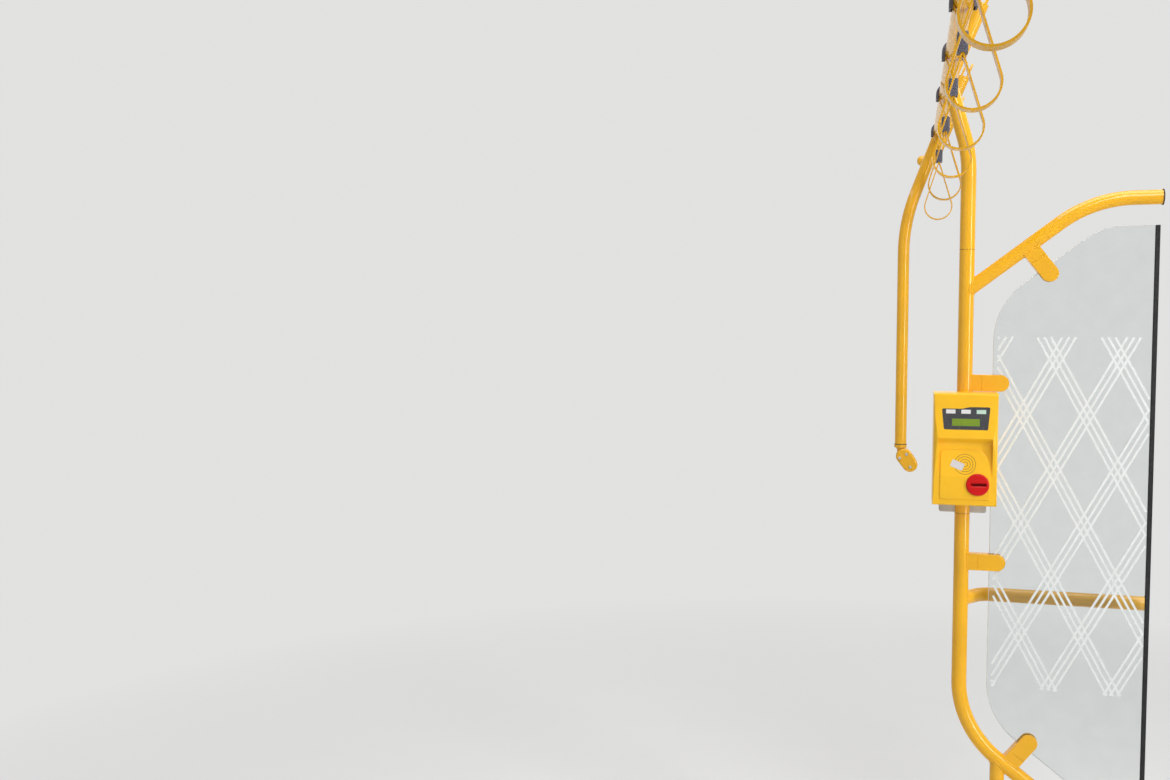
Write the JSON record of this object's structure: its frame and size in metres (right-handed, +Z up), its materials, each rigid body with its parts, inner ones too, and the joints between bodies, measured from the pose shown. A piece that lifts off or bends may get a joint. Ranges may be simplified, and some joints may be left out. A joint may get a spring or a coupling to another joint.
{
  "type": "tram grab rail frame",
  "caption": "Tram saloon grab-rail frame: bent stanchion, glass draught screen, ticket validator, overhead rail with swinging strap hangers, seat stanchion and ceiling arms.",
  "frame": {"origin": "centre of the floor flange's underside, on the floor", "axes": "+X to the side wall, +Y forwards along the overhead rail, +Z up"},
  "size_m": [0.5658, 2.9237, 2.263],
  "materials": {
    "rail_yellow": "gloss powder coat",
    "case_yellow": "satin moulded",
    "band_yellow": "semi-gloss",
    "hanger_grey": "matte moulded",
    "bracket_grey": "satin",
    "panel_dark": "gloss",
    "lamp_white": "diffusing",
    "display_green": "gloss",
    "slot_red": "gloss moulded",
    "glass": "clear, etched lines",
    "rubber": "matte"
  },
  "bodies": {
    "frame": {"ceiling_arm_1": "rail_yellow", "ceiling_arm_2": "rail_yellow", "ceiling_arm_3": "rail_yellow", "ceiling_arm_4": "rail_yellow", "ceiling_arm_5": "rail_yellow", "floor_flange": "rail_yellow", "floor_leg": "rail_yellow", "glass_clamp_body_1": "rail_yellow", "glass_clamp_body_2": "rail_yellow", "glass_clamp_body_3": "rail_yellow", "glass_clamp_body_4": "rail_yellow", "glass_clamp_cover_1": "rail_yellow", "glass_clamp_cover_2": "rail_yellow", "glass_clamp_cover_3": "rail_yellow", "glass_clamp_cover_4": "rail_yellow", "glass_clamp_pads": "rubber", "glass_edge_seal": "rubber", "glass_pane": "glass", "overhead_rail": "rail_yellow", "rail_end_far": "rail_yellow", "rail_end_near": "rail_yellow", "screen_branch": "rail_yellow", "screen_low_bend": "rail_yellow", "screen_low_rail": "rail_yellow", "screen_mid_rail": "rail_yellow", "seat_clamp_far": "rail_yellow", "seat_clamp_gasket": "rubber", "seat_clamp_near": "rail_yellow", "seat_clamp_socket": "rail_yellow", "seat_stanchion": "rail_yellow", "stanchion_lower": "rail_yellow", "stanchion_middle": "rail_yellow", "stanchion_upper": "rail_yellow", "validator_bracket": "bracket_grey", "validator_case": "case_yellow", "validator_display": "display_green", "validator_lamps": "lamp_white", "validator_panel": "panel_dark", "validator_slot": "slot_red", "wall_gaskets": "rubber"},
    "strap_1": {"strap_1_band": "band_yellow", "strap_1_clip": "hanger_grey", "strap_1_sleeve": "hanger_grey"},
    "strap_2": {"strap_2_band": "band_yellow", "strap_2_clip": "hanger_grey", "strap_2_sleeve": "hanger_grey"},
    "strap_3": {"strap_3_band": "band_yellow", "strap_3_clip": "hanger_grey", "strap_3_sleeve": "hanger_grey"},
    "strap_4": {"strap_4_band": "band_yellow", "strap_4_clip": "hanger_grey", "strap_4_sleeve": "hanger_grey"},
    "strap_5": {"strap_5_band": "band_yellow", "strap_5_clip": "hanger_grey", "strap_5_sleeve": "hanger_grey"},
    "strap_6": {"strap_6_band": "band_yellow", "strap_6_clip": "hanger_grey", "strap_6_sleeve": "hanger_grey"}
  },
  "joints": [
    {"name": "strap_1_swing", "type": "hinge", "parent": "frame", "child": "strap_1", "pos_m": [-0.135, -1.42, 2.055], "axis": [0, 1, 0], "range_deg": [-70, 70]},
    {"name": "strap_2_swing", "type": "hinge", "parent": "frame", "child": "strap_2", "pos_m": [-0.135, -1.04, 2.055], "axis": [0, 1, 0], "range_deg": [-70, 70]},
    {"name": "strap_3_swing", "type": "hinge", "parent": "frame", "child": "strap_3", "pos_m": [-0.135, -0.665, 2.055], "axis": [0, 1, 0], "range_deg": [-70, 70]},
    {"name": "strap_4_swing", "type": "hinge", "parent": "frame", "child": "strap_4", "pos_m": [-0.135, -0.275, 2.055], "axis": [0, 1, 0], "range_deg": [-70, 70]},
    {"name": "strap_5_swing", "type": "hinge", "parent": "frame", "child": "strap_5", "pos_m": [-0.135, 0.17, 2.055], "axis": [0, 1, 0], "range_deg": [-70, 70]},
    {"name": "strap_6_swing", "type": "hinge", "parent": "frame", "child": "strap_6", "pos_m": [-0.135, 0.715, 2.055], "axis": [0, 1, 0], "range_deg": [-70, 70]}
  ]
}
